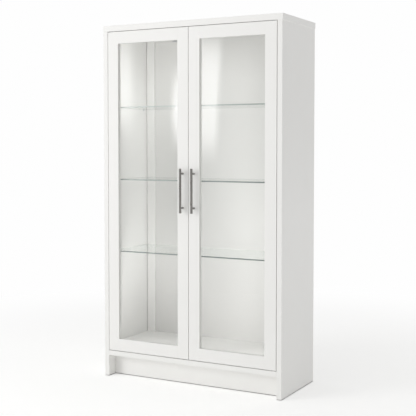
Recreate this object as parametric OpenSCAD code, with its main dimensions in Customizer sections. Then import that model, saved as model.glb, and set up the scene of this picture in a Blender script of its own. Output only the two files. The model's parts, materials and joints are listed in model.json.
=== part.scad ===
// Curio cabinet: a free-standing display case with two glazed pivot doors and three glass shelves.
// Millimetres. +Z is up, -Y is the front, and the origin is on the floor at the middle of the
// overall footprint, handles included. "Depth" counts from the front plane of the cabinet.

/* [Overall size] */
// Overall width, across the top panel
body_width = 1000; // [800:10:1200]
// Depth of the cabinet without its handles
body_depth = 400; // [360:10:500]
// Overall height
body_height = 1800; // [1600:10:2000]

/* [Boards] */
// Thickness of the side panels and of the bottom panel
board = 25; // [20:1:30]
// Thickness of the top panel
top_board = 30; // [24:1:40]
// How far the top panel stands past each side and past the back edges of the sides
top_overhang = 2; // [1:0.5:5]
// Height of the bottom panel's underside above the floor
plinth_top = 109; // [90:1:140]
// How far the front plinth is set back
plinth_setback = 60; // [40:1:80]
// Thickness of both plinth boards
plinth_board = 18; // [16:1:22]
// Thickness of the back panel
back_board = 4; // [3:0.5:6]

/* [Raised floor] */
// Thickness of the raised floor board
floor_board_thickness = 16; // [12:1:22]
// Height of the battens under the floor board
floor_lift = 19; // [12:1:40]
// Width of the upright battens in the rear corners
corner_width = 50; // [30:1:70]
// Thickness of the upright battens in the rear corners
corner_thickness = 12; // [10:1:18]

/* [Glass shelves] */
// Height of the lower shelf's top face
lower_shelf_top = 650; // [400:5:800]
// Height of the middle shelf's top face
middle_shelf_top = 1020; // [850:5:1150]
// Height of the upper shelf's top face
upper_shelf_top = 1390; // [1200:5:1500]
// Thickness of the glass shelves
shelf_glass = 6; // [5:1:8]

/* [Doors] */
// Gap round each door, and between the two doors
door_gap = 3; // [3:0.25:4]
// Thickness of the door frames
door_thickness = 22; // [20:1:24]
// Width of the stiles and height of the top rails
stile_width = 60; // [50:1:80]
// Height of the bottom rails
bottom_rail_height = 62; // [50:1:100]
// Thickness of the door glass
door_glass = 4; // [3:0.5:5]

/* [Handles] */
// Length of each handle bar
handle_length = 218; // [170:2:300]
// Diameter of the handle bar
handle_diameter = 12; // [10:1:14]
// How far the bar stands out from the door
handle_reach = 32; // [28:1:40]
// Height of the middle of the handles
handle_height = 970; // [900:5:1100]

/* [Hidden] */

$fn = 48;
cut = 1; // how far a cutting tool runs past the face it opens

// carcass planes, x for the left half, depth from the front plane
front_y = (handle_reach - body_depth) / 2;
side_outer = body_width / 2 - top_overhang;
side_inner = side_outer - board;
carcass_depth = body_depth - top_overhang;
top_under = body_height - top_board;
bottom_top = plinth_top + board;
back_recess = 11; // from the back panel to the rear edges of the sides
back_rear = carcass_depth - back_recess;
back_front = back_rear - back_board;
groove_depth = 8; // how deep the back panel's grooves are cut
groove_play = 1; // free space at the bottom of a groove
glide_height = 3;
glide_radius = 9;
glide_nail_radius = 1.25;
glide_nail_length = 12;
glide_chamfer = 1;
glide_inset = 22; // from the front and rear edges of a side to its glides
glide_depths = [glide_inset, carcass_depth - glide_inset];
floor_top = bottom_top + floor_lift + floor_board_thickness;
floor_play = 1; // free space at each end of the floor board
corner_gap = 3; // between a side panel and its corner batten
floor_batten_width = 40;
floor_batten_end = 30; // from a side panel to the end of a batten
floor_batten_setback = 3; // from the front edge of the floor board to the front batten
floor_batten_rear = 60; // from the back panel to the front face of the rear batten

// knock-down fittings
cam_radius = 7.5;
cam_height = 12.5;
cam_pocket = 13;
cam_reach = 34; // from the joint face to the middle of the cam
cam_axis_in = 9; // from the pocketed face to the bolt's axis
bolt_radius = 3;
bolt_bore = 4;
bolt_thread_radius = 2.5;
bolt_thread_length = 11;
thread_play = 0.03; // between a cam bolt's thread and its hole
bolt_head_radius = 3.5;
bolt_head_length = 3;
bolt_neck_radius = 2;
bolt_overlap = 1; // how far the lengths of a bolt run into each other
cam_slot = [8, 1.6, 2]; // length, width and depth of each arm of the cross slot
cam_depths = [52, back_front - 50];
dowel_radius = 4;
dowel_half = 15; // a carcass dowel reaches this far into each board
dowel_play = 0.5; // free space at each end of a dowel
dowel_depths = [92, back_front - 90];
plinth_dowel_above = 30; // from a plinth's cam bolt up to its dowel

// shelves and their pins
shelf_front = 42;
shelf_play = 1; // free space at the sides and the back of a shelf
shelf_back = back_front - corner_thickness - shelf_play;
shelf_tops = [lower_shelf_top, middle_shelf_top, upper_shelf_top];
pin_depths = [shelf_front + 38, shelf_back - 32];
pin_peg_radius = 2.5;
pin_peg_length = 10;
pin_flange_radius = 3.4;
pin_flange_thickness = 1.2;
pin_tongue = [12, 8, 1.5];
pad_radius = 3.4;
pad_thickness = 1;
pad_offset = 7.5;
pin_axis_below = 3.5; // from the underside of the glass to the peg's axis

// doors, drawn for the left half and mirrored
door_outer = side_inner - door_gap;
door_inner = door_gap / 2;
door_bottom = bottom_top + door_gap;
door_top = top_under - door_gap;
opening_x = [-door_outer + stile_width, -door_inner - stile_width];
opening_z = [door_bottom + bottom_rail_height, door_top - stile_width];
lip = 12; // thickness of the frame in front of the glass
rebate = 8; // width of the step that holds the glass
glass_play = 1;
bead_gap = 0.2;
bead_heights = [opening_z[0] - rebate, opening_z[1] + rebate];
bead_across = [opening_x[0] + bead_gap, opening_x[1] - bead_gap];
pivot_inset = 24;
pivot_x = -(door_outer - pivot_inset);
pivot_depth = door_thickness / 2;
pivot_radius = 4;
pivot_in_door = 20;
pivot_in_board = 15;
collar_radius = 7;
collar_height = door_gap - 0.3;
bush_radius = 6;
bush_length = 22;
bush_clearance = 0.05;
rail_dowel_half = 25;
rail_dowel_steps = [14, 40]; // from the outer edge of a rail

// handles, catches and brackets
handle_x = -(door_inner + stile_width / 2);
handle_axis = -(handle_reach - handle_diameter / 2);
handle_end = 25; // from the end of the bar to the middle of a post
handle_spacing = handle_length - 2 * handle_end;
post_radius = 5;
bar_chamfer = 0.8;
handle_screw_radius = 2;
handle_screw_hole = 2.25;
handle_screw_in_post = 12;
handle_screw_head = [4, 2.4]; // radius and height, as for the other heads
catch_x = -28;
catch_width = 44;
catch_size = [catch_width, 16, 14];
catch_front = door_thickness + 3;
magnet_size = [22, 11, 8];
magnet_proud = 1.5; // how far a magnet stands out of its housing
magnet_front = catch_front - magnet_proud;
magnet_drop = 3; // from the top of the housing to the magnet
catch_screw_offset = 16;
catch_screw_head = [3, 1.8];
small_screw_radius = 1.5; // the catch screws and the strike screws
small_screw_in = 12; // how far they run into the wood
strike_size = [24, 1.2, 17];
strike_top = door_top - 1;
strike_screw_drop = 13; // from the top of the strike plate to its screw
strike_screw_head = [3, 1.5];
bracket_x = 300;
bracket_width = 30;
bracket_leg = 22;
bracket_thickness = 2;
bracket_hole_radius = 2.75;
bracket_hole_drop = 12; // from the underside of the top panel to the wall hole
bracket_screw_in = 12;
bracket_screw_radius = 2;
bracket_screw_head = [3.8, 2.2];
bracket_screw_back = 13.2; // from the back panel to a bracket screw
back_screw_radius = 1.5;
back_screw_length = 14;
back_screw_head = [3.5, 2];
back_screw_xs = [-0.8, -0.4, 0, 0.4, 0.8] * side_inner;
back_screw_rows = 7;
back_screw_end = 60; // from each end of a corner batten to the nearest screw

// ---------------------------------------------------------------- helpers

// moves its children to a place given by x, depth and height
module place(x, depth, z) {
    translate([x, front_y + depth, z])
        children();
}

// a board between two values of x, of depth and of height
module slab(xs, depths, zs) {
    place(xs[0], depths[0], zs[0])
        cube([xs[1] - xs[0], depths[1] - depths[0], zs[1] - zs[0]]);
}

module both_sides() {
    children();
    mirror([1, 0, 0])
        children();
}

// a rod along +X that starts at the given x
module rod_x(radius, from, to) {
    translate([from, 0, 0])
        rotate([0, 90, 0])
            cylinder(r = radius, h = to - from);
}

// a rod along +Y that starts at the given y
module rod_y(radius, from, to) {
    translate([0, from, 0])
        rotate([-90, 0, 0])
            cylinder(r = radius, h = to - from);
}

// a cross-head screw that points down, with the underside of its head at the origin
module screw(radius, length, head) {
    top_radius = head[0] * 0.72;
    recess = head[0] * 1.1;
    slot = head[0] * 0.28;
    recess_floor = head[1] * 0.45;
    difference() {
        union() {
            translate([0, 0, -length])
                cylinder(r = radius, h = length);
            cylinder(r1 = head[0], r2 = top_radius, h = head[1]);
        }
        translate([-recess / 2, -slot / 2, recess_floor])
            cube([recess, slot, head[1]]);
        translate([-slot / 2, -recess / 2, recess_floor])
            cube([slot, recess, head[1]]);
    }
}

// ---------------------------------------------------------------- knock-down joints

// places its children at every cam joint of the left half: the joint face is the local YZ plane,
// +X runs into the pocketed board and +Z towards its pocketed face
module at_top_cams() {
    for (depth = cam_depths)
        place(-side_inner - cam_axis_in, depth, top_under)
            rotate([0, 90, 0])
                children();
}

module at_bottom_cams() {
    for (depth = cam_depths)
        place(-side_inner, depth, plinth_top + cam_axis_in)
            rotate([180, 0, 0])
                children();
}

module at_plinth_cams() {
    place(-side_inner, plinth_setback + plinth_board - cam_axis_in, plinth_top / 2)
        rotate([-90, 0, 0])
            children();
    place(-side_inner, back_front - plinth_board + cam_axis_in, plinth_top / 2)
        rotate([90, 0, 0])
            children();
}

module at_cams() {
    both_sides() {
        at_top_cams() children();
        at_bottom_cams() children();
        at_plinth_cams() children();
    }
}

module cam_bolt() {
    shank_end = cam_reach - cam_radius - 1;
    head_start = cam_reach - bolt_head_length;
    rod_x(bolt_thread_radius, -bolt_thread_length, 0);
    rod_x(bolt_radius, 0, shank_end);
    rod_x(bolt_neck_radius, shank_end - bolt_overlap, head_start + bolt_overlap);
    rod_x(bolt_head_radius, head_start, cam_reach);
}

module cam_disc() {
    difference() {
        translate([cam_reach, 0, cam_axis_in - cam_height])
            cylinder(r = cam_radius, h = cam_height);
        rod_x(bolt_bore, 0, cam_reach + 1);
        for (turn = [0, 90])
            translate([cam_reach, 0, cam_axis_in - cam_slot[2]])
                rotate([0, 0, turn])
                    translate([-cam_slot[0] / 2, -cam_slot[1] / 2, 0])
                        cube([cam_slot[0], cam_slot[1], cam_slot[2] + cut]);
    }
}

module cam_bores() {
    translate([cam_reach, 0, cam_axis_in - cam_pocket])
        cylinder(r = cam_radius, h = cam_pocket + cut);
    rod_x(bolt_bore, 0, cam_reach);
    rod_x(bolt_thread_radius + thread_play, -bolt_thread_length, 0);
}

// dowels of the left half, along local X, with the joint face at the origin
module at_dowels() {
    both_sides() {
        for (depth = dowel_depths)
            place(-side_inner - board / 2, depth, top_under)
                rotate([0, 90, 0])
                    children();
        for (depth = dowel_depths)
            place(-side_inner, depth, plinth_top + board / 2)
                children();
        for (depth = [plinth_setback + plinth_board / 2, back_front - plinth_board / 2])
            place(-side_inner, depth, plinth_top / 2 + plinth_dowel_above)
                children();
    }
}

module dowel_bore() {
    rod_x(dowel_radius, -dowel_half - dowel_play, dowel_half + dowel_play);
}

// ---------------------------------------------------------------- carcass

module at_shelf_pins() {
    both_sides()
        for (top = shelf_tops, depth = pin_depths)
            place(-side_inner, depth, top - shelf_glass)
                children();
}

module at_glides() {
    both_sides()
        for (depth = glide_depths)
            place(-side_outer + board / 2, depth, 0)
                children();
}

module side_panel() {
    difference() {
        slab([-side_outer, -side_inner], [0, carcass_depth], [glide_height, top_under]);
        slab([-side_inner - groove_depth, -side_inner + cut], [back_front, back_rear],
            [plinth_top, top_under + cut]);
        at_cams() cam_bores();
        at_dowels() dowel_bore();
        at_shelf_pins()
            translate([0, 0, -pin_axis_below])
                rod_x(pin_peg_radius, -pin_peg_length, cut);
        at_glides()
            cylinder(r = glide_nail_radius, h = glide_height + glide_nail_length);
    }
}

module left_side_panel() {
    color("white")
        side_panel();
}

module right_side_panel() {
    color("white")
        mirror([1, 0, 0])
            side_panel();
}

module top_panel() {
    color("white")
        difference() {
            slab([-body_width / 2, body_width / 2], [0, body_depth], [top_under, body_height]);
            slab([-side_inner - groove_depth, side_inner + groove_depth], [back_front, back_rear],
                [top_under - cut, top_under + groove_depth]);
            at_cams() cam_bores();
            at_dowels() dowel_bore();
            at_upper_pivots() cylinder(r = pivot_radius, h = pivot_in_board);
            at_catch_screws() cylinder(r = small_screw_radius, h = small_screw_in);
            at_bracket_screws() cylinder(r = bracket_screw_radius, h = bracket_screw_in);
        }
}

module bottom_panel() {
    color("white")
        difference() {
            slab([-side_inner, side_inner], [0, back_front], [plinth_top, bottom_top]);
            at_cams() cam_bores();
            at_dowels() dowel_bore();
            at_lower_pivots()
                translate([0, 0, -pivot_in_board])
                    cylinder(r = pivot_radius, h = pivot_in_board + cut);
            at_back_screws() rod_y(back_screw_radius, -back_screw_length, 0);
        }
}

module front_plinth() {
    color("white")
        difference() {
            slab([-side_inner, side_inner], [plinth_setback, plinth_setback + plinth_board],
                [glide_height, plinth_top]);
            at_cams() cam_bores();
            at_dowels() dowel_bore();
        }
}

module rear_plinth() {
    color("white")
        difference() {
            slab([-side_inner, side_inner], [back_front - plinth_board, back_front],
                [glide_height, plinth_top]);
            at_cams() cam_bores();
            at_dowels() dowel_bore();
        }
}

module back_panel() {
    edge = side_inner + groove_depth - groove_play;
    color("white")
        difference() {
            slab([-edge, edge], [back_front, back_rear],
                [plinth_top, top_under + groove_depth - groove_play]);
            at_back_screws() rod_y(back_screw_radius, -back_screw_length, cut);
            at_wall_holes() rod_y(bracket_hole_radius, -cut, back_board + cut);
        }
}

module corner_batten() {
    difference() {
        slab([-side_inner + corner_gap, -side_inner + corner_width],
            [back_front - corner_thickness, back_front], [floor_top, top_under]);
        at_back_screws() rod_y(back_screw_radius, -back_screw_length, 0);
    }
}

module left_corner_batten() {
    color("white")
        corner_batten();
}

module right_corner_batten() {
    color("white")
        mirror([1, 0, 0])
            corner_batten();
}

module floor_board() {
    color("white")
        slab([-side_inner + floor_play, side_inner - floor_play], [shelf_front, back_front],
            [floor_top - floor_board_thickness, floor_top]);
}

module floor_battens() {
    color("white")
        for (depth = [shelf_front + floor_batten_setback, back_front - floor_batten_rear])
            slab([-side_inner + floor_batten_end, side_inner - floor_batten_end],
                [depth, depth + floor_batten_width], [bottom_top, bottom_top + floor_lift]);
}

// the screws that hold the back panel: their heads sit on its rear face
module at_back_screws() {
    for (x = back_screw_xs)
        place(x, back_rear, plinth_top + board / 2)
            children();
    lowest = floor_top + back_screw_end;
    step = (top_under - back_screw_end - lowest) / (back_screw_rows - 1);
    both_sides()
        for (row = [0 : back_screw_rows - 1])
            place(-side_inner + corner_width / 2, back_rear, lowest + row * step)
                children();
}

module back_panel_screws() {
    color("silver")
        at_back_screws()
            rotate([-90, 0, 0])
                screw(back_screw_radius, back_screw_length, back_screw_head);
}

module glides() {
    color("dimgray")
        at_glides() {
            cylinder(r1 = glide_radius - glide_chamfer, r2 = glide_radius, h = glide_chamfer);
            translate([0, 0, glide_chamfer])
                cylinder(r = glide_radius, h = glide_height - glide_chamfer);
            cylinder(r = glide_nail_radius, h = glide_height + glide_nail_length);
        }
}

module cam_bolts() {
    color("silver")
        at_cams() cam_bolt();
}

module cam_discs() {
    color("white")
        at_cams() cam_disc();
}

module carcass_dowels() {
    color("tan")
        at_dowels() rod_x(dowel_radius, -dowel_half, dowel_half);
}

// ---------------------------------------------------------------- shelves

module glass_shelf(top) {
    color([0.72, 0.86, 0.82, 0.5])
        slab([-side_inner + shelf_play, side_inner - shelf_play], [shelf_front, shelf_back],
            [top - shelf_glass, top]);
}

module lower_shelf() {
    glass_shelf(lower_shelf_top);
}

module middle_shelf() {
    glass_shelf(middle_shelf_top);
}

module upper_shelf() {
    glass_shelf(upper_shelf_top);
}

module shelf_pins() {
    color("silver")
        at_shelf_pins() {
            translate([0, 0, -pin_axis_below]) {
                rod_x(pin_peg_radius, -pin_peg_length, 0);
                rod_x(pin_flange_radius, 0, pin_flange_thickness);
            }
            translate([0, -pin_tongue[1] / 2, -pad_thickness - pin_tongue[2]])
                cube(pin_tongue);
        }
}

module shelf_pads() {
    color("whitesmoke")
        at_shelf_pins()
            translate([pad_offset, 0, -pad_thickness])
                cylinder(r = pad_radius, h = pad_thickness);
}

// ---------------------------------------------------------------- wall brackets

// the holes for the wall screws, on the back panel's front face
module at_wall_holes() {
    both_sides()
        place(-bracket_x, back_front, top_under - bracket_hole_drop)
            children();
}

// the bracket screws, on the underside of the top panel
module at_bracket_screws() {
    both_sides()
        place(-bracket_x, back_front - bracket_screw_back, top_under)
            children();
}

module wall_brackets() {
    half = bracket_width / 2;
    color("silver")
        difference() {
            both_sides() {
                slab([-bracket_x - half, -bracket_x + half], [back_front - bracket_leg, back_front],
                    [top_under - bracket_thickness, top_under]);
                slab([-bracket_x - half, -bracket_x + half],
                    [back_front - bracket_thickness, back_front],
                    [top_under - bracket_leg, top_under]);
            }
            at_wall_holes() rod_y(bracket_hole_radius, -bracket_thickness - cut, cut);
            at_bracket_screws()
                translate([0, 0, -bracket_thickness - cut])
                    cylinder(r = bracket_screw_radius, h = bracket_thickness + 2 * cut);
        }
}

module wall_bracket_screws() {
    color("silver")
        at_bracket_screws()
            translate([0, 0, -bracket_thickness])
                rotate([180, 0, 0])
                    screw(bracket_screw_radius, bracket_screw_in + bracket_thickness,
                        bracket_screw_head);
}

// ---------------------------------------------------------------- magnetic catches

module at_catches() {
    both_sides()
        place(catch_x, 0, top_under)
            children();
}

// the catch screws, on the underside of the top panel
module at_catch_screws() {
    both_sides()
        for (step = [-catch_screw_offset, catch_screw_offset])
            place(catch_x + step, catch_front + catch_size[1] / 2, top_under)
                children();
}

module catch_housings() {
    color("whitesmoke")
        difference() {
            at_catches()
                translate([-catch_width / 2, catch_front, -catch_size[2]])
                    cube(catch_size);
            at_catches()
                translate([-magnet_size[0] / 2, catch_front - cut, -magnet_drop - magnet_size[2]])
                    cube([magnet_size[0], magnet_size[1] - magnet_proud + cut, magnet_size[2]]);
            at_catch_screws()
                translate([0, 0, -catch_size[2] - cut])
                    cylinder(r = small_screw_radius, h = catch_size[2] + 2 * cut);
        }
}

module catch_magnets() {
    color("dimgray")
        at_catches()
            translate([-magnet_size[0] / 2, magnet_front, -magnet_drop - magnet_size[2]])
                cube(magnet_size);
}

module catch_screws() {
    color("silver")
        at_catch_screws()
            translate([0, 0, -catch_size[2]])
                rotate([180, 0, 0])
                    screw(small_screw_radius, catch_size[2] + small_screw_in, catch_screw_head);
}

// ---------------------------------------------------------------- door pivots

module at_lower_pivots() {
    both_sides()
        place(pivot_x, pivot_depth, bottom_top)
            children();
}

module at_upper_pivots() {
    both_sides()
        place(pivot_x, pivot_depth, top_under)
            children();
}

// a pin that stands up from its board, with a thrust collar in the gap under the door
module pivot_pin() {
    translate([0, 0, -pivot_in_board])
        cylinder(r = pivot_radius, h = pivot_in_board + door_gap + pivot_in_door);
    cylinder(r = collar_radius, h = collar_height);
}

module lower_pivot_pins() {
    color("silver")
        at_lower_pivots() pivot_pin();
}

module upper_pivot_pins() {
    color("silver")
        at_upper_pivots()
            rotate([180, 0, 0])
                pivot_pin();
}

// ---------------------------------------------------------------- doors, drawn for the left half

module at_door_pivots() {
    place(pivot_x, pivot_depth, door_bottom)
        children();
    place(pivot_x, pivot_depth, door_top)
        rotate([180, 0, 0])
            children();
}

// dowels between rails and stiles, along local X
module at_rail_dowels() {
    for (x = opening_x, step = rail_dowel_steps) {
        place(x, door_thickness / 2, door_bottom + step)
            children();
        place(x, door_thickness / 2, door_top - step)
            children();
    }
}

module at_handle_posts() {
    for (z = [handle_height - handle_spacing / 2, handle_height + handle_spacing / 2])
        place(handle_x, 0, z)
            children();
}

module glass_rebate() {
    slab([opening_x[0] - rebate, opening_x[1] + rebate], [lip, door_thickness + cut],
        [opening_z[0] - rebate, opening_z[1] + rebate]);
}

module rail_dowel_bore() {
    rod_x(dowel_radius, -rail_dowel_half - dowel_play, rail_dowel_half + dowel_play);
}

module hinge_stile() {
    difference() {
        slab([-door_outer, opening_x[0]], [0, door_thickness], [door_bottom, door_top]);
        glass_rebate();
        at_rail_dowels() rail_dowel_bore();
        at_door_pivots()
            translate([0, 0, -cut])
                cylinder(r = bush_radius, h = bush_length + cut);
    }
}

module meeting_stile() {
    difference() {
        slab([opening_x[1], -door_inner], [0, door_thickness], [door_bottom, door_top]);
        glass_rebate();
        at_rail_dowels() rail_dowel_bore();
        at_handle_posts() rod_y(handle_screw_hole, -cut, door_thickness + cut);
        at_strike_screw() rod_y(small_screw_radius, -small_screw_in, cut);
    }
}

module rail(zs) {
    difference() {
        slab(opening_x, [0, door_thickness], zs);
        glass_rebate();
        at_rail_dowels() rail_dowel_bore();
    }
}

module top_rail() {
    rail([opening_z[1], door_top]);
}

module bottom_rail() {
    rail([door_bottom, opening_z[0]]);
}

module glass_pane() {
    reach = rebate - glass_play;
    slab([opening_x[0] - reach, opening_x[1] + reach], [lip, lip + door_glass],
        [opening_z[0] - reach, opening_z[1] + reach]);
}

// a strip that fills the step behind the glass along one side of the opening
module bead(xs, zs) {
    slab(xs, [lip + door_glass, door_thickness], zs);
}

module hinge_bead() {
    bead([opening_x[0] - rebate, opening_x[0]], bead_heights);
}

module meeting_bead() {
    bead([opening_x[1], opening_x[1] + rebate], bead_heights);
}

module top_bead() {
    bead(bead_across, [opening_z[1], bead_heights[1]]);
}

module bottom_bead() {
    bead(bead_across, [bead_heights[0], opening_z[0]]);
}

module door_dowels() {
    at_rail_dowels()
        rod_x(dowel_radius, -rail_dowel_half, rail_dowel_half);
}

module pivot_bushes() {
    at_door_pivots()
        difference() {
            cylinder(r = bush_radius, h = bush_length);
            translate([0, 0, -cut])
                cylinder(r = pivot_radius + bush_clearance, h = bush_length + 2 * cut);
        }
}

module handle_bar() {
    radius = handle_diameter / 2;
    place(handle_x, handle_axis, handle_height - handle_length / 2)
        rotate_extrude()
            polygon([
                [0, 0], [radius - bar_chamfer, 0], [radius, bar_chamfer],
                [radius, handle_length - bar_chamfer], [radius - bar_chamfer, handle_length],
                [0, handle_length]
            ]);
}

module handle_posts() {
    difference() {
        at_handle_posts()
            rod_y(post_radius, handle_axis, 0);
        place(handle_x, handle_axis, handle_height - handle_length / 2)
            cylinder(r = handle_diameter / 2, h = handle_length);
        at_handle_posts()
            rod_y(handle_screw_radius, -handle_screw_in_post, cut);
    }
}

module handle_screws() {
    at_handle_posts()
        translate([0, door_thickness, 0])
            rotate([-90, 0, 0])
                screw(handle_screw_radius, door_thickness + handle_screw_in_post,
                    handle_screw_head);
}

// the strike plate's screw, on the rear face of the door
module at_strike_screw() {
    place(catch_x, door_thickness, strike_top - strike_screw_drop)
        children();
}

module strike_plate() {
    difference() {
        place(catch_x - strike_size[0] / 2, door_thickness, strike_top - strike_size[2])
            cube(strike_size);
        at_strike_screw() rod_y(small_screw_radius, -cut, strike_size[1] + cut);
    }
}

module strike_screw() {
    at_strike_screw()
        translate([0, strike_size[1], 0])
            rotate([-90, 0, 0])
                screw(small_screw_radius, small_screw_in + strike_size[1], strike_screw_head);
}

// ---------------------------------------------------------------- the left door

module left_hinge_stile() {
    color("white") hinge_stile();
}

module left_meeting_stile() {
    color("white") meeting_stile();
}

module left_top_rail() {
    color("white") top_rail();
}

module left_bottom_rail() {
    color("white") bottom_rail();
}

module left_glass_pane() {
    color([0.85, 0.92, 0.92, 0.35]) glass_pane();
}

module left_hinge_bead() {
    color("white") hinge_bead();
}

module left_meeting_bead() {
    color("white") meeting_bead();
}

module left_top_bead() {
    color("white") top_bead();
}

module left_bottom_bead() {
    color("white") bottom_bead();
}

module left_door_dowels() {
    color("tan") door_dowels();
}

module left_pivot_bushes() {
    color("ivory") pivot_bushes();
}

module left_handle_bar() {
    color("silver") handle_bar();
}

module left_handle_posts() {
    color("silver") handle_posts();
}

module left_handle_screws() {
    color("silver") handle_screws();
}

module left_strike_plate() {
    color("silver") strike_plate();
}

module left_strike_screw() {
    color("silver") strike_screw();
}

// ---------------------------------------------------------------- the right door

module right_hinge_stile() {
    color("white") mirror([1, 0, 0]) hinge_stile();
}

module right_meeting_stile() {
    color("white") mirror([1, 0, 0]) meeting_stile();
}

module right_top_rail() {
    color("white") mirror([1, 0, 0]) top_rail();
}

module right_bottom_rail() {
    color("white") mirror([1, 0, 0]) bottom_rail();
}

module right_glass_pane() {
    color([0.85, 0.92, 0.92, 0.35]) mirror([1, 0, 0]) glass_pane();
}

module right_hinge_bead() {
    color("white") mirror([1, 0, 0]) hinge_bead();
}

module right_meeting_bead() {
    color("white") mirror([1, 0, 0]) meeting_bead();
}

module right_top_bead() {
    color("white") mirror([1, 0, 0]) top_bead();
}

module right_bottom_bead() {
    color("white") mirror([1, 0, 0]) bottom_bead();
}

module right_door_dowels() {
    color("tan") mirror([1, 0, 0]) door_dowels();
}

module right_pivot_bushes() {
    color("ivory") mirror([1, 0, 0]) pivot_bushes();
}

module right_handle_bar() {
    color("silver") mirror([1, 0, 0]) handle_bar();
}

module right_handle_posts() {
    color("silver") mirror([1, 0, 0]) handle_posts();
}

module right_handle_screws() {
    color("silver") mirror([1, 0, 0]) handle_screws();
}

module right_strike_plate() {
    color("silver") mirror([1, 0, 0]) strike_plate();
}

module right_strike_screw() {
    color("silver") mirror([1, 0, 0]) strike_screw();
}

// ---------------------------------------------------------------- what is drawn

left_side_panel();
right_side_panel();
top_panel();
bottom_panel();
front_plinth();
rear_plinth();
back_panel();
left_corner_batten();
right_corner_batten();
floor_board();
floor_battens();
lower_shelf();
middle_shelf();
upper_shelf();
shelf_pins();
shelf_pads();
glides();
cam_bolts();
cam_discs();
carcass_dowels();
back_panel_screws();
wall_brackets();
wall_bracket_screws();
catch_housings();
catch_magnets();
catch_screws();
lower_pivot_pins();
upper_pivot_pins();
left_hinge_stile();
left_meeting_stile();
left_top_rail();
left_bottom_rail();
left_glass_pane();
left_hinge_bead();
left_meeting_bead();
left_top_bead();
left_bottom_bead();
left_door_dowels();
left_pivot_bushes();
left_handle_bar();
left_handle_posts();
left_handle_screws();
left_strike_plate();
left_strike_screw();
right_hinge_stile();
right_meeting_stile();
right_top_rail();
right_bottom_rail();
right_glass_pane();
right_hinge_bead();
right_meeting_bead();
right_top_bead();
right_bottom_bead();
right_door_dowels();
right_pivot_bushes();
right_handle_bar();
right_handle_posts();
right_handle_screws();
right_strike_plate();
right_strike_screw();
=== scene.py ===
import json
import math

import bmesh
import bpy
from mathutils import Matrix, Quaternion, Vector


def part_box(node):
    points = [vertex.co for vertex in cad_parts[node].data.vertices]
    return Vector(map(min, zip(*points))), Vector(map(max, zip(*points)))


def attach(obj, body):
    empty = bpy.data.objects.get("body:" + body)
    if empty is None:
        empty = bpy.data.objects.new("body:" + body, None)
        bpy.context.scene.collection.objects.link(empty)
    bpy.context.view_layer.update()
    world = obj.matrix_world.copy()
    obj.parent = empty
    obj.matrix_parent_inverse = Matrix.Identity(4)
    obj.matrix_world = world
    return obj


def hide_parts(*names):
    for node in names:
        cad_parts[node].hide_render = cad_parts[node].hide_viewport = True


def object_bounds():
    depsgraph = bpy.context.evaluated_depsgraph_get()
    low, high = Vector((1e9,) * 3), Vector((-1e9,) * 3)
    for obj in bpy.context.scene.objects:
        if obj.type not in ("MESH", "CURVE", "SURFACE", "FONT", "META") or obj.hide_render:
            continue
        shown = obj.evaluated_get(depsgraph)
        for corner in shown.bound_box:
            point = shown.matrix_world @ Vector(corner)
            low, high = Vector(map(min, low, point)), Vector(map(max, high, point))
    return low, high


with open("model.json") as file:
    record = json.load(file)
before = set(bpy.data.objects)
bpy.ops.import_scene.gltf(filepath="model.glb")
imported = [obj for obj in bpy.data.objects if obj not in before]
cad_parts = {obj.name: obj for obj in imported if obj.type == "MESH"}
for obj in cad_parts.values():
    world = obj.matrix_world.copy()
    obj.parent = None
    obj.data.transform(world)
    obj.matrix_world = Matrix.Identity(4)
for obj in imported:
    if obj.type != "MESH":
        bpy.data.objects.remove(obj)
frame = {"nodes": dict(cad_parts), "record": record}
cad_low, cad_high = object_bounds()
nodes = frame["nodes"]
record = frame["record"]
slot_of = {part["node"]: part["material_slot"] for part in record["subparts"]}
MM = 0.001
RAMP = (0.3, 0.7)  # the range that most noise values lie in
BACKDROP = 0.991  # radiance of the plain white that the camera sees
BOARD_EASE = 0.8 * MM
FRAME_EASE = 0.5 * MM


# ------------------------------------------------------------------ node helpers

def add(tree, kind, **values):
    """A new shader node, with its properties and the sockets named by name set."""
    node = tree.nodes.new(kind)
    for name, value in values.items():
        if hasattr(node, name):
            setattr(node, name, value)
        else:
            node.inputs[name.replace("_", " ")].default_value = value
    return node


def link(tree, source, target):
    tree.links.new(source, target)


def blank_material(name):
    material = bpy.data.materials.new(name)
    material.use_nodes = True
    material.node_tree.nodes.clear()
    output = material.node_tree.nodes.new("ShaderNodeOutputMaterial")
    return material, material.node_tree, output


def object_position(tree, scale=(1.0, 1.0, 1.0)):
    """Coordinates fixed to the piece, in metres, stretched by scale."""
    place = add(tree, "ShaderNodeTexCoord")
    mapping = add(tree, "ShaderNodeMapping")
    mapping.inputs["Scale"].default_value = scale
    link(tree, place.outputs["Object"], mapping.inputs["Vector"])
    return mapping.outputs["Vector"]


def noise(tree, position, scale, detail=2.0, roughness=0.5):
    texture = add(tree, "ShaderNodeTexNoise")
    texture.inputs["Scale"].default_value = scale
    texture.inputs["Detail"].default_value = detail
    texture.inputs["Roughness"].default_value = roughness
    link(tree, position, texture.inputs["Vector"])
    return texture.outputs["Fac"]


def spread(tree, value, low, high):
    """Maps a noise value to low and high."""
    node = add(tree, "ShaderNodeMapRange")
    node.inputs["From Min"].default_value = RAMP[0]
    node.inputs["From Max"].default_value = RAMP[1]
    node.inputs["To Min"].default_value = low
    node.inputs["To Max"].default_value = high
    link(tree, value, node.inputs["Value"])
    return node.outputs["Result"]


def blend_colours(tree, factor, first, second):
    """The first colour where factor is low, the second where it is high."""
    ramp = add(tree, "ShaderNodeValToRGB")
    ramp.color_ramp.elements[0].position = RAMP[0]
    ramp.color_ramp.elements[0].color = (*first, 1.0)
    ramp.color_ramp.elements[1].position = RAMP[1]
    ramp.color_ramp.elements[1].color = (*second, 1.0)
    link(tree, factor, ramp.inputs["Fac"])
    return ramp.outputs["Color"]


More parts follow.
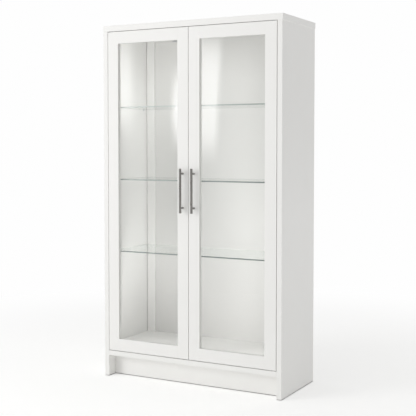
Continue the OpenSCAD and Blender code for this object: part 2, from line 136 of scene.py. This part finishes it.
def bump(tree, height, depth):
    """A surface relief of the given depth in metres."""
    node = add(tree, "ShaderNodeBump")
    node.inputs["Strength"].default_value = 1.0
    node.inputs["Distance"].default_value = depth
    link(tree, height, node.inputs["Height"])
    return node.outputs["Normal"]


def principled(tree, output):
    shader = add(tree, "ShaderNodeBsdfPrincipled")
    link(tree, shader.outputs["BSDF"], output.inputs["Surface"])
    return shader


# ------------------------------------------------------------------ materials

def lacquer(name, light, dark, gloss=(0.34, 0.44)):
    """Satin lacquer or enamel: a faint drift of tone, uneven gloss and fine orange peel."""
    material, tree, output = blank_material(name)
    shader = principled(tree, output)
    position = object_position(tree)
    drift = noise(tree, position, scale=3.0, detail=4.0, roughness=0.6)
    link(tree, blend_colours(tree, drift, dark, light), shader.inputs["Base Color"])
    smudge = noise(tree, position, scale=22.0, detail=3.0)
    link(tree, spread(tree, smudge, *gloss), shader.inputs["Roughness"])
    orange_peel = noise(tree, position, scale=650.0)
    link(tree, bump(tree, orange_peel, depth=0.02 * MM), shader.inputs["Normal"])
    shader.inputs["Specular IOR Level"].default_value = 0.5
    return material


def brushed_metal(name, light, dark, grain, gloss, depth, stretch=0.0):
    """Metal with a fine grain: a small value along an axis draws the grain out along it."""
    material, tree, output = blank_material(name)
    shader = principled(tree, output)
    lines = noise(tree, object_position(tree, grain), scale=1.0, detail=3.0, roughness=0.6)
    smudge = noise(tree, object_position(tree), scale=40.0)
    link(tree, blend_colours(tree, lines, dark, light), shader.inputs["Base Color"])
    link(tree, spread(tree, smudge, *gloss), shader.inputs["Roughness"])
    link(tree, bump(tree, lines, depth), shader.inputs["Normal"])
    shader.inputs["Metallic"].default_value = 1.0
    shader.inputs["Anisotropic"].default_value = stretch
    return material


def moulded_plastic(name, light, dark, gloss=(0.4, 0.55)):
    """Plastic with a faint drift of tone, uneven gloss and the fine texture of its mould."""
    material, tree, output = blank_material(name)
    shader = principled(tree, output)
    position = object_position(tree)
    drift = noise(tree, position, scale=60.0)
    link(tree, blend_colours(tree, drift, dark, light), shader.inputs["Base Color"])
    smudge = noise(tree, position, scale=180.0)
    link(tree, spread(tree, smudge, *gloss), shader.inputs["Roughness"])
    mould_texture = noise(tree, position, scale=1500.0)
    link(tree, bump(tree, mould_texture, depth=0.03 * MM), shader.inputs["Normal"])
    return material


def turned_wood(name, light, dark):
    """Unfinished turned beech with a fine fleck that is the same in every direction."""
    material, tree, output = blank_material(name)
    shader = principled(tree, output)
    fleck = noise(tree, object_position(tree), scale=600.0, detail=5.0, roughness=0.65)
    link(tree, blend_colours(tree, fleck, dark, light), shader.inputs["Base Color"])
    link(tree, spread(tree, fleck, 0.55, 0.75), shader.inputs["Roughness"])
    link(tree, bump(tree, fleck, depth=0.05 * MM), shader.inputs["Normal"])
    return material


def clear_glass(name, tint):
    """Glass that mirrors and bends what is seen. Shadow and diffuse rays pass straight through."""
    material, tree, output = blank_material(name)
    glass = add(tree, "ShaderNodeBsdfGlass")
    glass.inputs["IOR"].default_value = 1.5
    glass.inputs["Roughness"].default_value = 0.0
    glass.inputs["Color"].default_value = (*tint, 1.0)
    wave = noise(tree, object_position(tree), scale=9.0, detail=1.0)
    link(tree, bump(tree, wave, depth=0.0001 * MM), glass.inputs["Normal"])
    through = add(tree, "ShaderNodeBsdfTransparent")
    through.inputs["Color"].default_value = (*tint, 1.0)
    path = add(tree, "ShaderNodeLightPath")
    mix = add(tree, "ShaderNodeMixShader")
    link(tree, path.outputs["Is Shadow Ray"], mix.inputs[0])
    link(tree, glass.outputs["BSDF"], mix.inputs[1])
    link(tree, through.outputs["BSDF"], mix.inputs[2])
    inward = add(tree, "ShaderNodeMixShader")
    link(tree, path.outputs["Is Diffuse Ray"], inward.inputs[0])
    link(tree, mix.outputs["Shader"], inward.inputs[1])
    link(tree, through.outputs["BSDF"], inward.inputs[2])
    link(tree, inward.outputs["Shader"], output.inputs["Surface"])
    return material


def glass_edge(name, painted_shade_left, painted_shade_right, pale=(0.80, 0.84, 0.82), dark=(0.04, 0.08, 0.065)):
    """The polished edge of a glass shelf: green glass with painted light and shade, from pale to
    dark green along X.

    The painted shade values, from 0 for pale to 1 for dark, are those at the cabinet's left and
    right sides.
    """
    material, tree, output = blank_material(name)
    shader = principled(tree, output)
    along = add(tree, "ShaderNodeSeparateXYZ")
    link(tree, object_position(tree), along.inputs[0])
    # painted light and shade: the edge runs from pale to dark green along X
    depth = add(tree, "ShaderNodeMapRange")
    depth.inputs["From Min"].default_value = cad_low.x
    depth.inputs["From Max"].default_value = cad_high.x
    ramp_width = RAMP[1] - RAMP[0]
    depth.inputs["To Min"].default_value = RAMP[0] + ramp_width * painted_shade_left
    depth.inputs["To Max"].default_value = RAMP[0] + ramp_width * painted_shade_right
    link(tree, along.outputs["X"], depth.inputs["Value"])
    streaks = noise(tree, object_position(tree, (9.0, 9.0, 400.0)), scale=1.0, detail=3.0)
    streaked = add(tree, "ShaderNodeMath", operation="ADD")
    link(tree, depth.outputs["Result"], streaked.inputs[0])
    link(tree, spread(tree, streaks, -0.015, 0.015), streaked.inputs[1])
    link(tree, blend_colours(tree, streaked.outputs[0], pale, dark), shader.inputs["Base Color"])
    link(tree, spread(tree, streaks, 0.08, 0.2), shader.inputs["Roughness"])
    shader.inputs["IOR"].default_value = 1.5
    shader.inputs["Specular IOR Level"].default_value = 0.3
    return material


WHITE_LIGHT = (0.885, 0.880, 0.860)
WHITE_DARK = (0.865, 0.860, 0.840)
MATERIALS = {
    "white_board": lacquer("white_lacquer", light=WHITE_LIGHT, dark=WHITE_DARK),
    "raw_wood": turned_wood("turned_beech", light=(0.66, 0.49, 0.33), dark=(0.55, 0.39, 0.25)),
    "door_glass": clear_glass("door_glass", tint=(1.0, 1.0, 1.0)),
    "shelf_glass": clear_glass("shelf_glass", tint=(0.985, 0.995, 0.99)),
    "handle_steel": brushed_metal("brushed_steel", light=(0.30, 0.29, 0.275),
                                  dark=(0.25, 0.24, 0.23), grain=(3000.0, 3000.0, 60.0),
                                  gloss=(0.26, 0.34), depth=0.002 * MM, stretch=0.5),
    "zinc_steel": brushed_metal("zinc_plate", light=(0.70, 0.71, 0.72), dark=(0.55, 0.57, 0.59),
                                grain=(300.0, 300.0, 300.0), gloss=(0.25, 0.42), depth=0.01 * MM),
    "white_zinc": lacquer("white_enamel", light=WHITE_LIGHT, dark=WHITE_DARK, gloss=(0.28, 0.38)),
    "white_plastic": moulded_plastic("white_plastic", light=(0.84, 0.84, 0.82),
                                     dark=(0.80, 0.80, 0.78)),
    "grey_plastic": moulded_plastic("grey_plastic", light=(0.10, 0.10, 0.10),
                                    dark=(0.07, 0.07, 0.07)),
    "clear_pad": moulded_plastic("clear_pad", light=(0.80, 0.83, 0.83), dark=(0.72, 0.76, 0.76),
                                 gloss=(0.2, 0.3)),
}
# Each shelf's front edge has its own painted light and shade, pale to dark from left to right.
EDGE_GLASS = {
    "lower_shelf": glass_edge("lower_edge_glass", painted_shade_left=0.70, painted_shade_right=0.93),
    "middle_shelf": glass_edge("middle_edge_glass", painted_shade_left=0.46, painted_shade_right=0.96),
    "upper_shelf": glass_edge("upper_edge_glass", painted_shade_left=0.175, painted_shade_right=0.735),
}
# painted shade: the back panel is a darker copy of the white lacquer, for the dimmer light at the
# back
SHADED_BACK_BOARD = lacquer("shaded_back_board", light=(0.770, 0.765, 0.745), dark=(0.750, 0.745, 0.725))


# ------------------------------------------------------------------ CAD nodes kept as they are

def dress(node):
    """Gives a CAD node the material of its slot. The thin back panel gets a greyer white: painted
    shade, for the dimmer light at the back of the cabinet.
    """
    obj = nodes[node]
    obj.data.materials.clear()
    obj.data.materials.append(SHADED_BACK_BOARD if node == "back_panel" else MATERIALS[slot_of[node]])


def ease_edges(node, width, segments=3):
    """Rounds a board's sharp edges, as sanding and edge banding do."""
    obj = nodes[node]
    weld = obj.modifiers.new("weld", "WELD")
    weld.merge_threshold = 0.00001
    planar = obj.modifiers.new("planar", "DECIMATE")
    planar.decimate_type = "DISSOLVE"
    planar.angle_limit = math.radians(1.0)
    bevel = obj.modifiers.new("ease", "BEVEL")
    bevel.width = width
    bevel.segments = segments
    bevel.limit_method = "ANGLE"
    bevel.angle_limit = math.radians(50.0)
    bevel.use_clamp_overlap = False


for name in nodes:
    dress(name)

BOARDS = ["left_side_panel", "right_side_panel", "top_panel", "bottom_panel", "front_plinth",
          "rear_plinth", "left_corner_batten", "right_corner_batten", "floor_board"]
FRAME_PARTS = ["hinge_stile", "meeting_stile", "top_rail", "bottom_rail"]
for name in BOARDS:
    ease_edges(name, BOARD_EASE)
for side in ("left", "right"):
    for part in FRAME_PARTS:
        ease_edges(f"{side}_{part}", FRAME_EASE)


# ------------------------------------------------------------------ pieces that replace CAD nodes

def mesh_piece(name, build, node, body, materials):
    """One piece from a bmesh, in place of one CAD node, riding on body."""
    mesh = bpy.data.meshes.new(name)
    piece = bpy.data.objects.new(name, mesh)
    bpy.context.scene.collection.objects.link(piece)
    surface = bmesh.new()
    build(surface)
    bmesh.ops.recalc_face_normals(surface, faces=surface.faces)
    surface.to_mesh(mesh)
    surface.free()
    for material in materials:
        mesh.materials.append(material)
    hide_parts(node)
    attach(piece, body)
    return piece


def glass_shelf(node, arris=0.6 * MM):
    """A clear plate with ground arrises. Its front edge is green glass with painted light and
    shade.
    """
    low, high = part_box(node)

    def build(surface):
        bmesh.ops.create_cube(surface, size=1.0)
        centre = (low + high) / 2
        size = high - low
        for vertex in surface.verts:
            vertex.co = Vector(c * s + m for c, s, m in zip(vertex.co, size, centre))
        bmesh.ops.bevel(surface, geom=surface.edges[:], offset=arris, segments=1,
                        affect="EDGES", clamp_overlap=True)
        surface.normal_update()
        for face in surface.faces:
            face.material_index = 1 if face.normal.y < -0.5 else 0

    return mesh_piece(f"{node}_plate", build, node, "carcass",
                      [MATERIALS["shelf_glass"], EDGE_GLASS[node]])


for node in ("lower_shelf", "middle_shelf", "upper_shelf"):
    glass_shelf(node)


# ------------------------------------------------------------------ floor, light and camera

def outside_box(tree, position, low, high):
    """How far a point of the floor lies outside a rectangle. It is negative inside."""
    off_centre = add(tree, "ShaderNodeVectorMath", operation="SUBTRACT")
    off_centre.inputs[1].default_value = (low + high) / 2
    link(tree, position, off_centre.inputs[0])
    folded = add(tree, "ShaderNodeVectorMath", operation="ABSOLUTE")
    link(tree, off_centre.outputs["Vector"], folded.inputs[0])
    beyond = add(tree, "ShaderNodeVectorMath", operation="SUBTRACT")
    beyond.inputs[1].default_value = (high - low) / 2
    link(tree, folded.outputs["Vector"], beyond.inputs[0])
    split = add(tree, "ShaderNodeSeparateXYZ")
    link(tree, beyond.outputs["Vector"], split.inputs[0])
    larger = add(tree, "ShaderNodeMath", operation="MAXIMUM")
    link(tree, split.outputs["X"], larger.inputs[0])
    link(tree, split.outputs["Y"], larger.inputs[1])
    return larger.outputs[0]


def under_cabinet(tree, position):
    """How far a point of the floor lies outside the side panels and the space behind the plinth. It
    masks the painted shadow under the cabinet.
    """
    plinth_low, plinth_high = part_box("front_plinth")
    left_low, left_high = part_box("left_side_panel")
    right_low, right_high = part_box("right_side_panel")
    behind_high = Vector((plinth_high.x, left_high.y, plinth_high.z))
    nearest = outside_box(tree, position, plinth_low, behind_high)
    for low, high in ((left_low, left_high), (right_low, right_high)):
        smaller = add(tree, "ShaderNodeMath", operation="MINIMUM")
        link(tree, nearest, smaller.inputs[0])
        link(tree, outside_box(tree, position, low, high), smaller.inputs[1])
        nearest = smaller.outputs[0]
    return nearest


def floor_near(tree, position):
    """Pale matte floor with a faint glow that stands for light from all round. The glow fades out
    under the cabinet, which paints the shadow there.
    """
    matte = add(tree, "ShaderNodeBsdfDiffuse")
    speck = noise(tree, position, scale=35.0, detail=3.0)
    link(tree, blend_colours(tree, speck, (0.775, 0.775, 0.77), (0.785, 0.785, 0.78)),
         matte.inputs["Color"])
    glow = add(tree, "ShaderNodeEmission")
    glow.inputs["Color"].default_value = (1.0, 1.0, 0.99, 1.0)
    # painted shadow: the floor's glow is cut off where the floor lies under the cabinet
    shade = add(tree, "ShaderNodeMapRange")
    shade.inputs["From Min"].default_value = -1.0 * MM
    shade.inputs["From Max"].default_value = 4.0 * MM
    shade.inputs["To Max"].default_value = 0.377
    link(tree, under_cabinet(tree, position), shade.inputs["Value"])
    link(tree, shade.outputs["Result"], glow.inputs["Strength"])
    lit = add(tree, "ShaderNodeAddShader")
    link(tree, matte.outputs["BSDF"], lit.inputs[0])
    link(tree, glow.outputs["Emission"], lit.inputs[1])
    return lit.outputs["Shader"]


def floor_material():
    """The near floor, which runs into plain white between 1 and 3 m from the middle."""
    material, tree, output = blank_material("studio_floor")
    position = object_position(tree)
    near = floor_near(tree, position)
    white = add(tree, "ShaderNodeEmission")
    white.inputs["Color"].default_value = (1.0, 1.0, 1.0, 1.0)
    white.inputs["Strength"].default_value = BACKDROP
    distance = add(tree, "ShaderNodeVectorMath", operation="LENGTH")
    link(tree, position, distance.inputs[0])
    fade = add(tree, "ShaderNodeMapRange", interpolation_type="SMOOTHSTEP")
    fade.inputs["From Min"].default_value = 1.0
    fade.inputs["From Max"].default_value = 3.0
    link(tree, distance.outputs["Value"], fade.inputs["Value"])
    mix = add(tree, "ShaderNodeMixShader")
    link(tree, fade.outputs["Result"], mix.inputs[0])
    link(tree, near, mix.inputs[1])
    link(tree, white.outputs["Emission"], mix.inputs[2])
    link(tree, mix.outputs["Shader"], output.inputs["Surface"])
    return material


def make_floor(reach=30.0):
    mesh = bpy.data.meshes.new("studio_floor")
    corners = [(-reach, -reach, 0), (reach, -reach, 0), (reach, reach, 0), (-reach, reach, 0)]
    mesh.from_pydata(corners, [], [(0, 1, 2, 3)])
    floor = bpy.data.objects.new("studio_floor", mesh)
    bpy.context.scene.collection.objects.link(floor)
    mesh.materials.append(floor_material())


def make_world(even, turned, towards):
    """White to look at. The fill light is even, with more of it from one side."""
    world = bpy.data.worlds.new("studio")
    bpy.context.scene.world = world
    world.use_nodes = True
    tree = world.node_tree
    tree.nodes.clear()
    output = tree.nodes.new("ShaderNodeOutputWorld")
    seen = add(tree, "ShaderNodeBackground")
    seen.inputs["Strength"].default_value = BACKDROP
    seen.inputs["Color"].default_value = (1.0, 1.0, 1.0, 1.0)
    light = add(tree, "ShaderNodeBackground")
    light.inputs["Color"].default_value = (1.0, 1.0, 1.0, 1.0)
    direction = add(tree, "ShaderNodeTexCoord")
    facing = add(tree, "ShaderNodeVectorMath", operation="DOT_PRODUCT")
    facing.inputs[1].default_value = Vector(towards).normalized()
    link(tree, direction.outputs["Generated"], facing.inputs[0])
    strength = add(tree, "ShaderNodeMapRange")
    strength.inputs["From Min"].default_value = -1.0
    strength.inputs["To Min"].default_value = even - turned
    strength.inputs["To Max"].default_value = even + turned
    link(tree, facing.outputs["Value"], strength.inputs["Value"])
    link(tree, strength.outputs["Result"], light.inputs["Strength"])
    path = add(tree, "ShaderNodeLightPath")
    shown = add(tree, "ShaderNodeMath", operation="MAXIMUM")
    link(tree, path.outputs["Is Camera Ray"], shown.inputs[0])
    link(tree, path.outputs["Is Singular Ray"], shown.inputs[1])
    mix = add(tree, "ShaderNodeMixShader")
    link(tree, shown.outputs["Value"], mix.inputs[0])
    link(tree, light.outputs["Background"], mix.inputs[1])
    link(tree, seen.outputs["Background"], mix.inputs[2])
    link(tree, mix.outputs["Shader"], output.inputs["Surface"])


def area_light(name, place, target, size, power):
    """A soft rectangular lamp at place that faces target and never shows."""
    data = bpy.data.lights.new(name, "AREA")
    data.shape = "RECTANGLE"
    data.size, data.size_y = size
    data.energy = power
    lamp = bpy.data.objects.new(name, data)
    bpy.context.scene.collection.objects.link(lamp)
    lamp.location = place
    lamp.rotation_mode = "QUATERNION"
    lamp.rotation_quaternion = (Vector(target) - Vector(place)).to_track_quat("-Z", "Y")
    lamp.visible_camera = False
    lamp.visible_glossy = False
    lamp.visible_transmission = False
    return lamp


def soft_edges(data, soft_side, soft_end):
    """Makes a lamp fade out towards its sides and its ends."""
    data.use_nodes = True
    tree = data.node_tree
    tree.nodes.clear()
    output = tree.nodes.new("ShaderNodeOutputLight")
    glow = add(tree, "ShaderNodeEmission")
    place = add(tree, "ShaderNodeNewGeometry")
    split = add(tree, "ShaderNodeSeparateXYZ")
    link(tree, place.outputs["Parametric"], split.inputs[0])
    shares = []
    for axis, width in (("X", soft_side), ("Y", soft_end)):
        off_middle = add(tree, "ShaderNodeMath", operation="SUBTRACT")
        off_middle.inputs[1].default_value = 0.5
        link(tree, split.outputs[axis], off_middle.inputs[0])
        distance = add(tree, "ShaderNodeMath", operation="ABSOLUTE")
        link(tree, off_middle.outputs[0], distance.inputs[0])
        fade = add(tree, "ShaderNodeMapRange", interpolation_type="SMOOTHSTEP")
        fade.inputs["From Min"].default_value = 0.5 - width
        fade.inputs["From Max"].default_value = 0.5
        fade.inputs["To Min"].default_value = 1.0
        fade.inputs["To Max"].default_value = 0.0
        link(tree, distance.outputs[0], fade.inputs["Value"])
        shares.append(fade.outputs["Result"])
    both = add(tree, "ShaderNodeMath", operation="MULTIPLY")
    link(tree, shares[0], both.inputs[0])
    link(tree, shares[1], both.inputs[1])
    link(tree, both.outputs[0], glow.inputs["Strength"])
    link(tree, glow.outputs["Emission"], output.inputs["Surface"])


def strip_lamp(name, place, size, radiance, soft_side=0.3, soft_end=0.3, lean=0.0):
    """An upright strip that shows only as a soft pale band in the door glass."""
    power = radiance * math.pi * size[0] * size[1]
    lamp = area_light(name, place, place + Vector((0.5, 1.0, 0.0)), size, power)
    lamp.rotation_quaternion = lamp.rotation_quaternion @ Quaternion((0, 0, 1), lean)
    lamp.visible_glossy = True
    lamp.visible_transmission = True
    lamp.visible_diffuse = False
    soft_edges(lamp.data, soft_side, soft_end)
    return lamp


def make_camera(pitch=-2.627, turn=28.428):
    """Looks down a little. That leaves only a small lens shift, which suits other views too."""
    data = bpy.data.cameras.new("camera")
    data.sensor_width = 36.0
    data.lens = 78.43
    data.shift_y = -0.05
    camera = bpy.data.objects.new("camera", data)
    bpy.context.scene.collection.objects.link(camera)
    camera.location = (2.1900, -4.0276, 1.1911)
    camera.rotation_euler = (math.radians(90.0 + pitch), 0.0, math.radians(turn))
    bpy.context.scene.camera = camera


def light_studio(middle):
    """Soft lamps round the cabinet. Most of the light comes from the front left."""
    area_light("key", place=middle + Vector((-3.2, -3.7, 1.1)), target=middle,
               size=(2.2, 2.2), power=70.0)
    area_light("side", place=middle + Vector((3.2, 1.0, 1.2)), target=middle,
               size=(1.6, 1.6), power=12.0)
    area_light("overhead", place=middle + Vector((0.0, -0.2, 3.4)), target=middle,
               size=(2.4, 2.4), power=17.0)


def light_inside():
    """Small lamps behind the doors, in place of light that is lost after a few bounces.

    All but one face the back. They tilt so little that none of them comes out of a door's front.
    """
    lamp_y = cad_low.y + 0.11
    area_light("inside_high", place=(-0.33, lamp_y, 1.50), target=(-0.43, 1.0, 1.60),
               size=(0.16, 0.40), power=0.25)
    area_light("inside_low", place=(-0.33, lamp_y, 0.48), target=(-0.43, 1.0, 0.18),
               size=(0.16, 0.50), power=0.22)
    towards_side = area_light("inside_left", place=(-0.08, lamp_y, 1.0),
                              target=(-0.50, lamp_y + 0.22, 1.0), size=(0.08, 1.10), power=0.21)
    towards_side.data.spread = math.radians(70.0)
    area_light("inside_right_high", place=(0.23, lamp_y, 1.38), target=(0.23, 1.0, 1.45),
               size=(0.3, 0.55), power=0.18)
    area_light("inside_right", place=(0.22, lamp_y, 0.60), target=(0.22, 1.0, 0.49),
               size=(0.3, 0.80), power=0.54)


def mirror_bands(lamp_y=-4.2):
    """Upright strips in front of the cabinet that show as pale bands in the door glass."""
    strip_lamp("band_right", Vector((-2.085, lamp_y, 1.70)), (0.31, 1.50), radiance=3.1,
               lean=-0.045)
    strip_lamp("band_middle", Vector((-2.39, lamp_y, 1.57)), (0.26, 1.05), radiance=6.3,
               soft_side=0.5, soft_end=0.5)
    strip_lamp("band_left", Vector((-3.12, lamp_y, 1.88)), (0.38, 1.40), radiance=1.7,
               soft_side=0.35, soft_end=0.4)


make_floor()
make_world(even=0.45, turned=0.27, towards=(-0.8, -0.3, 0.4))
light_studio((cad_low + cad_high) / 2)
light_inside()
mirror_bands()
make_camera()
bpy.context.scene.view_settings.view_transform = "Standard"
